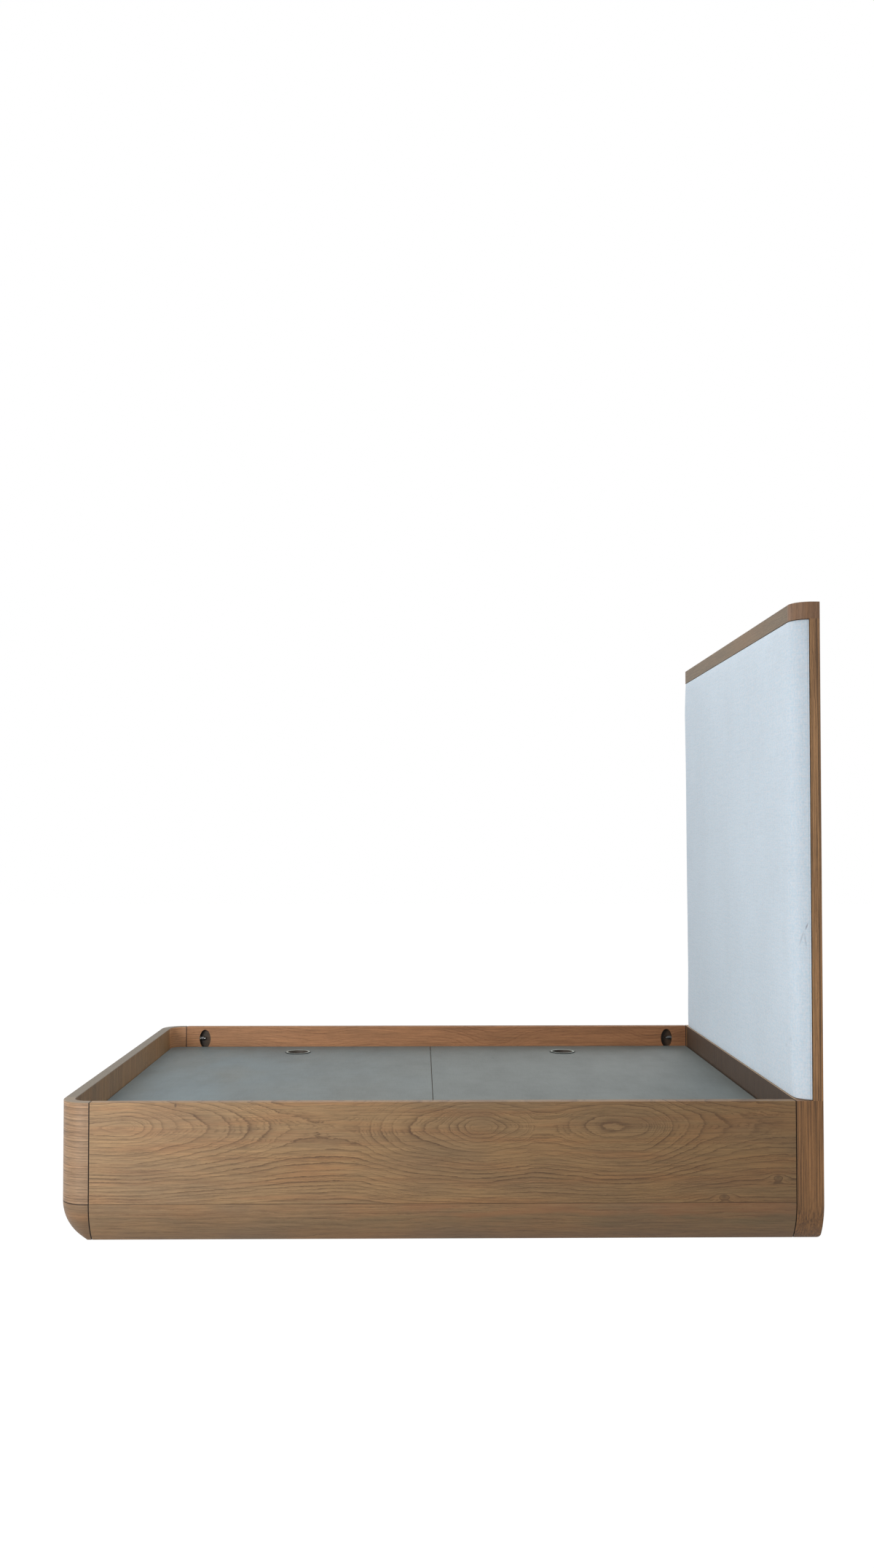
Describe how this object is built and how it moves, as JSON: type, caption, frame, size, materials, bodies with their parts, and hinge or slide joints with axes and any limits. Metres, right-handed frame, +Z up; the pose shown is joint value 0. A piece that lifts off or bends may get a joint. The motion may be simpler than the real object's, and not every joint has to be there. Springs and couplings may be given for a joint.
{
  "type": "panel bed with storage box",
  "caption": "Panel bed with rounded foot corners, curved base, oval connector pockets, lift-off storage lids with finger rings and a tall padded headboard.",
  "frame": {"origin": "on the floor, under the middle of the bed", "axes": "+X from the foot towards the headboard, +Y across the bed towards the side with the finger rings, +Z up"},
  "size_m": [2.12, 1.57, 1.78],
  "materials": {
    "oak_veneer": "matt lacquered oak veneer with open grain",
    "softwood": "planed, unfinished",
    "plywood": "sanded, unfinished",
    "lid_laminate": "grey-blue laminated board, satin",
    "linen": "plain woven linen over foam",
    "ring_alloy": "satin grey",
    "zinc_steel": "dark zinc plated"
  },
  "bodies": {
    "bed_frame": {"side_rail_near": "oak_veneer", "side_rail_far": "oak_veneer", "rail_base_near": "oak_veneer", "rail_base_far": "oak_veneer", "foot_board": "oak_veneer", "foot_base": "oak_veneer", "foot_corner_near": "oak_veneer", "foot_corner_far": "oak_veneer", "corner_bases": "oak_veneer", "head_leg_near": "oak_veneer", "head_leg_far": "oak_veneer", "low_panel": "oak_veneer", "cross_rail": "softwood", "low_back_panel": "oak_veneer", "head_base": "oak_veneer", "stile_near": "oak_veneer", "stile_far": "oak_veneer", "back_panel": "oak_veneer", "top_rail": "oak_veneer", "top_corner_near": "oak_veneer", "top_corner_far": "oak_veneer", "pad_board": "plywood", "headboard_pad": "linen", "ledge_near_foot": "softwood", "ledge_near_head": "softwood", "ledge_far_foot": "softwood", "ledge_far_head": "softwood", "ledge_foot_end": "softwood", "ledge_head_end": "softwood", "partition": "plywood", "spine_foot": "softwood", "spine_head": "softwood", "storage_floor_foot": "plywood", "storage_floor_head": "plywood", "partition_bearer": "softwood", "centre_feet": "softwood", "rail_studs": "zinc_steel", "rail_washers": "zinc_steel", "rail_nuts": "zinc_steel", "rail_dowels": "softwood", "stile_dowels": "softwood"},
    "foot_lid": {"lid_foot": "lid_laminate", "finger_ring_foot": "ring_alloy"},
    "head_lid": {"lid_head": "lid_laminate", "finger_ring_head": "ring_alloy"}
  },
  "joints": [
    {"name": "foot_lid_lift", "type": "slide", "parent": "bed_frame", "child": "foot_lid", "axis": [0, 0, 1], "range_m": [0, 0.14]},
    {"name": "head_lid_lift", "type": "slide", "parent": "bed_frame", "child": "head_lid", "axis": [0, 0, 1], "range_m": [0, 0.14]}
  ]
}
